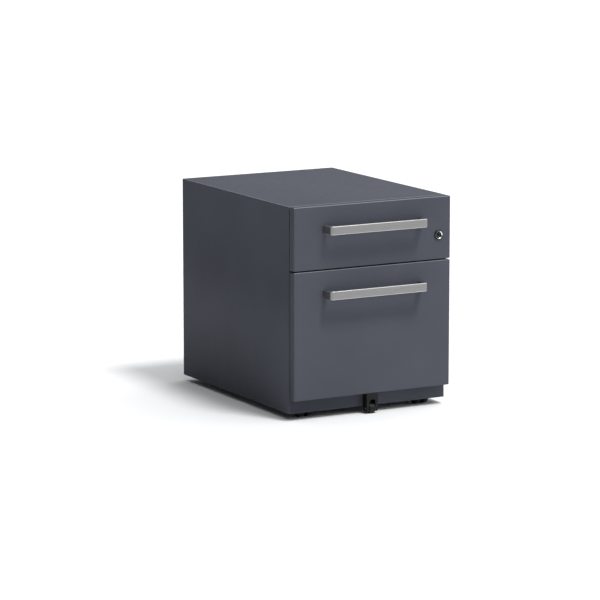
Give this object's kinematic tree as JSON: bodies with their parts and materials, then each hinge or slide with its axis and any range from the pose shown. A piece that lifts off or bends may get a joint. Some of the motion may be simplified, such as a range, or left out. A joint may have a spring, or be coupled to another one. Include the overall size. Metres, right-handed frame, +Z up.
{
  "type": "rolling pedestal cabinet",
  "caption": "Steel mobile pedestal with a shallow drawer over a filing drawer, bow handles, cylinder lock, recessed castors and an anti-tilt wheel under the filing drawer.",
  "frame": {"origin": "on the floor, under the middle of the whole outline with the handles", "axes": "+Z up, the drawer fronts face -Y, +X to the right of somebody who faces the fronts"},
  "size_m": [0.42, 0.598, 0.502],
  "materials": {
    "slate_paint": "satin powder coat, dark blue-grey, very fine orange-peel texture",
    "drawer_box_paint": "satin powder coat, slightly darker, inside surfaces",
    "zinc_plate": "bright zinc plated steel, slightly uneven",
    "satin_nickel": "satin nickel with fine lengthwise grain",
    "polished_chrome": "polished chrome plate",
    "black_plastic": "moulded black nylon, fine matt texture",
    "wheel_plastic": "hard black wheel plastic, slightly scuffed tread"
  },
  "bodies": {
    "carcass": {"side_panel_left": "slate_paint", "side_panel_right": "slate_paint", "top_panel": "slate_paint", "back_panel": "slate_paint", "base_plate": "slate_paint", "plinth_panel": "slate_paint", "top_front_rail": "slate_paint", "mid_front_rail": "slate_paint", "upright_front_left": "slate_paint", "upright_front_right": "slate_paint", "upright_rear_left": "slate_paint", "upright_rear_right": "slate_paint", "upper_runner_outer_left": "zinc_plate", "upper_runner_outer_right": "zinc_plate", "lower_runner_outer_left": "zinc_plate", "lower_runner_outer_right": "zinc_plate", "castor_front_left_plate": "zinc_plate", "castor_front_right_plate": "zinc_plate", "castor_rear_left_plate": "zinc_plate", "castor_rear_right_plate": "zinc_plate"},
    "upper_drawer": {"upper_runner_inner_left": "zinc_plate", "upper_runner_inner_right": "zinc_plate", "upper_front_panel": "slate_paint", "upper_front_backing": "drawer_box_paint", "upper_drawer_box": "drawer_box_paint", "upper_handle": "satin_nickel", "lock_body": "polished_chrome"},
    "lower_drawer": {"lower_runner_inner_left": "zinc_plate", "lower_runner_inner_right": "zinc_plate", "lower_front_panel": "slate_paint", "lower_front_backing": "drawer_box_paint", "lower_drawer_box": "drawer_box_paint", "lower_handle": "satin_nickel", "file_rail_left": "zinc_plate", "file_rail_right": "zinc_plate", "lower_drawer_catch": "zinc_plate", "fifth_castor_block": "black_plastic", "fifth_castor_axle": "zinc_plate"},
    "upper_runner_middle": {"upper_runner_middle_left": "zinc_plate", "upper_runner_middle_right": "zinc_plate"},
    "lower_runner_middle": {"lower_runner_middle_left": "zinc_plate", "lower_runner_middle_right": "zinc_plate"},
    "lock_core": {"lock_plug": "polished_chrome", "lock_cam": "zinc_plate"},
    "lock_bar_slider": {"lock_bar": "zinc_plate"},
    "fifth_wheel": {"fifth_castor_wheel": "wheel_plastic"},
    "front_left_castor": {"castor_front_left_hood": "black_plastic"},
    "front_left_castor_left_wheel": {"castor_front_left_wheel_left": "wheel_plastic"},
    "front_left_castor_right_wheel": {"castor_front_left_wheel_right": "wheel_plastic"},
    "front_right_castor": {"castor_front_right_hood": "black_plastic"},
    "front_right_castor_left_wheel": {"castor_front_right_wheel_left": "wheel_plastic"},
    "front_right_castor_right_wheel": {"castor_front_right_wheel_right": "wheel_plastic"},
    "rear_left_castor": {"castor_rear_left_hood": "black_plastic"},
    "rear_left_castor_left_wheel": {"castor_rear_left_wheel_left": "wheel_plastic"},
    "rear_left_castor_right_wheel": {"castor_rear_left_wheel_right": "wheel_plastic"},
    "rear_right_castor": {"castor_rear_right_hood": "black_plastic"},
    "rear_right_castor_left_wheel": {"castor_rear_right_wheel_left": "wheel_plastic"},
    "rear_right_castor_right_wheel": {"castor_rear_right_wheel_right": "wheel_plastic"}
  },
  "joints": [
    {"name": "upper_drawer_slide", "type": "slide", "parent": "carcass", "child": "upper_drawer", "axis": [0, -1, 0], "range_m": [0, 0.46]},
    {"name": "lower_drawer_slide", "type": "slide", "parent": "carcass", "child": "lower_drawer", "axis": [0, -1, 0], "range_m": [0, 0.46]},
    {"name": "upper_runner_slide", "type": "slide", "parent": "carcass", "child": "upper_runner_middle", "axis": [0, -1, 0], "range_m": [0, 0.23]},
    {"name": "lower_runner_slide", "type": "slide", "parent": "carcass", "child": "lower_runner_middle", "axis": [0, -1, 0], "range_m": [0, 0.23]},
    {"name": "lock_turn", "type": "hinge", "parent": "upper_drawer", "child": "lock_core", "pos_m": [0.178, -0.266, 0.411], "axis": [0, 1, 0], "range_deg": [0, 90]},
    {"name": "lock_bar_slide", "type": "slide", "parent": "carcass", "child": "lock_bar_slider", "axis": [0, 0, -1], "range_m": [0, 0.00785]},
    {"name": "fifth_wheel_spin", "type": "hinge", "parent": "lower_drawer", "child": "fifth_wheel", "pos_m": [0, -0.2565, 0.012], "axis": [1, 0, 0], "continuous": true},
    {"name": "front_left_castor_swivel", "type": "hinge", "parent": "carcass", "child": "front_left_castor", "pos_m": [-0.158, -0.199, 0.0477], "axis": [0, 0, 1], "continuous": true},
    {"name": "front_left_castor_left_wheel_spin", "type": "hinge", "parent": "front_left_castor", "child": "front_left_castor_left_wheel", "pos_m": [-0.1681, -0.213, 0.02], "axis": [1, 0, 0], "continuous": true},
    {"name": "front_left_castor_right_wheel_spin", "type": "hinge", "parent": "front_left_castor", "child": "front_left_castor_right_wheel", "pos_m": [-0.1479, -0.213, 0.02], "axis": [1, 0, 0], "continuous": true},
    {"name": "front_right_castor_swivel", "type": "hinge", "parent": "carcass", "child": "front_right_castor", "pos_m": [0.158, -0.199, 0.0477], "axis": [0, 0, 1], "continuous": true},
    {"name": "front_right_castor_left_wheel_spin", "type": "hinge", "parent": "front_right_castor", "child": "front_right_castor_left_wheel", "pos_m": [0.1479, -0.213, 0.02], "axis": [1, 0, 0], "continuous": true},
    {"name": "front_right_castor_right_wheel_spin", "type": "hinge", "parent": "front_right_castor", "child": "front_right_castor_right_wheel", "pos_m": [0.1681, -0.213, 0.02], "axis": [1, 0, 0], "continuous": true},
    {"name": "rear_left_castor_swivel", "type": "hinge", "parent": "carcass", "child": "rear_left_castor", "pos_m": [-0.158, 0.199, 0.0477], "axis": [0, 0, 1], "continuous": true},
    {"name": "rear_left_castor_left_wheel_spin", "type": "hinge", "parent": "rear_left_castor", "child": "rear_left_castor_left_wheel", "pos_m": [-0.1681, 0.185, 0.02], "axis": [1, 0, 0], "continuous": true},
    {"name": "rear_left_castor_right_wheel_spin", "type": "hinge", "parent": "rear_left_castor", "child": "rear_left_castor_right_wheel", "pos_m": [-0.1479, 0.185, 0.02], "axis": [1, 0, 0], "continuous": true},
    {"name": "rear_right_castor_swivel", "type": "hinge", "parent": "carcass", "child": "rear_right_castor", "pos_m": [0.158, 0.199, 0.0477], "axis": [0, 0, 1], "continuous": true},
    {"name": "rear_right_castor_left_wheel_spin", "type": "hinge", "parent": "rear_right_castor", "child": "rear_right_castor_left_wheel", "pos_m": [0.1479, 0.185, 0.02], "axis": [1, 0, 0], "continuous": true},
    {"name": "rear_right_castor_right_wheel_spin", "type": "hinge", "parent": "rear_right_castor", "child": "rear_right_castor_right_wheel", "pos_m": [0.1681, 0.185, 0.02], "axis": [1, 0, 0], "continuous": true}
  ],
  "couplings": [
    {"joint": "upper_runner_slide", "follows": "upper_drawer_slide", "ratio": 0.5},
    {"joint": "lower_runner_slide", "follows": "lower_drawer_slide", "ratio": 0.5},
    {"joint": "lock_turn", "follows": "lock_bar_slide", "rad_per_m": 200}
  ]
}
